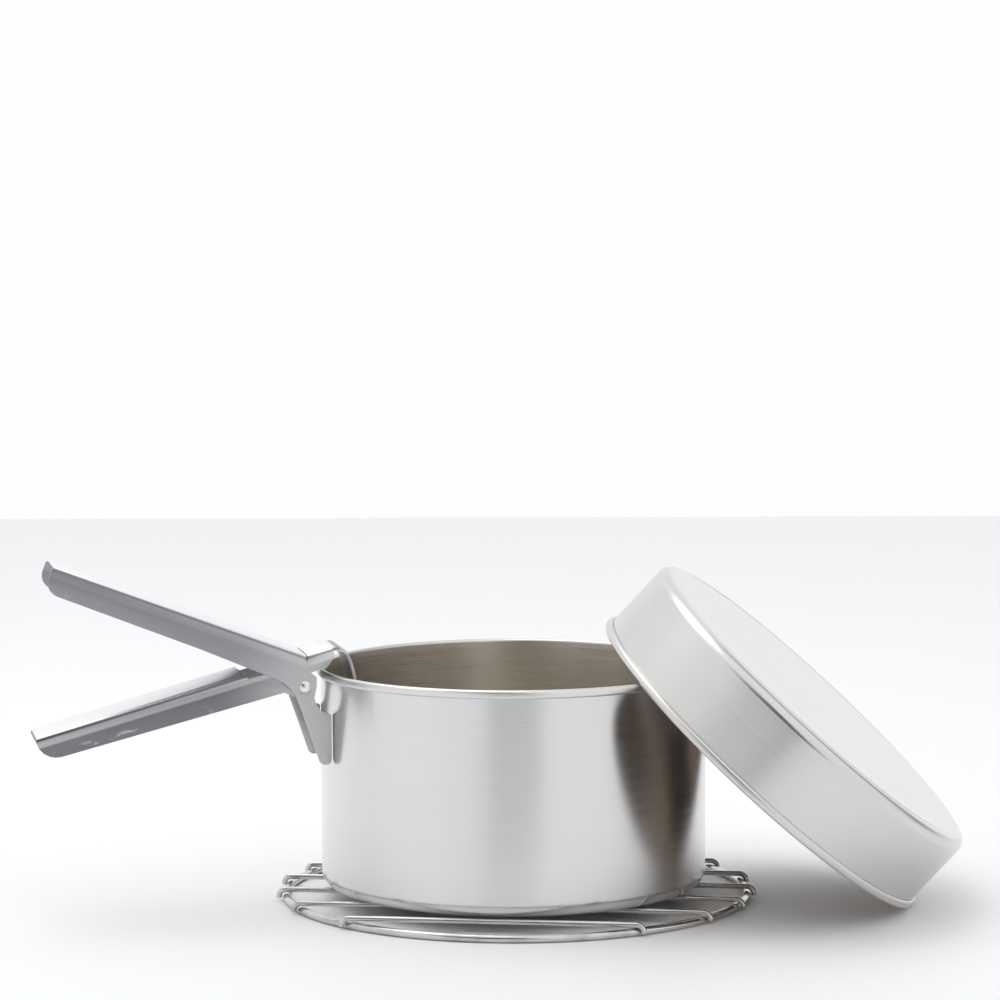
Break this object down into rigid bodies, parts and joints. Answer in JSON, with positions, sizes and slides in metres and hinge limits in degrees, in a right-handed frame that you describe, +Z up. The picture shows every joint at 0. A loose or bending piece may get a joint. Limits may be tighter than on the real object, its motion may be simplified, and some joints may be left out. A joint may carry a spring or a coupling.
{
  "type": "camping cook set",
  "caption": "Round steel pot on a raised wire grill, with its shallow pan leaning on it and a two-lever gripper hung on the pot's rim.",
  "frame": {"origin": "middle of the footprint of the whole set as it stands, on the ground", "axes": "+Z up, +X from the gripper's handles towards the leaning pan, +Y away from the side that is seen from the front"},
  "size_m": [0.335, 0.1716, 0.1264],
  "materials": {
    "grill_wire": "polished round wire, bright",
    "pot_steel": "satin stainless steel, spun, with a polished rolled rim",
    "pan_steel": "satin stainless steel, base brushed round",
    "lever_aluminium": "bare pressed sheet, dull and scuffed along the handles",
    "rivet_aluminium": "bright domed rivet"
  },
  "bodies": {
    "grill": {"grill_ring": "grill_wire", "grill_bar_1": "grill_wire", "grill_bar_2": "grill_wire", "grill_bar_3": "grill_wire", "grill_bar_4": "grill_wire", "grill_bar_5": "grill_wire", "grill_bar_6": "grill_wire", "grill_bar_7": "grill_wire"},
    "pot": {"pot_shell": "pot_steel"},
    "pan": {"pan_shell": "pan_steel"},
    "gripper": {"gripper_upper_lever": "lever_aluminium", "gripper_rivet": "rivet_aluminium"},
    "gripper_lever": {"gripper_lower_lever": "lever_aluminium"}
  },
  "joints": [
    {"name": "pot_lift", "type": "slide", "parent": "grill", "child": "pot", "axis": [0, 0, 1], "range_m": [0, 0.08]},
    {"name": "pan_lift", "type": "slide", "parent": "pot", "child": "pan", "axis": [0.6689, -0.0739, 0.7396], "range_m": [0, 0.06]},
    {"name": "gripper_lift", "type": "slide", "parent": "pot", "child": "gripper", "axis": [-0.1356, -0.0288, 0.9903], "range_m": [0, 0.05]},
    {"name": "jaw_pivot", "type": "hinge", "parent": "gripper", "child": "gripper_lever", "pos_m": [-0.07158, -0.01714, 0.08115], "axis": [-0.2079, 0.9781, 0], "range_deg": [0, 9]}
  ]
}
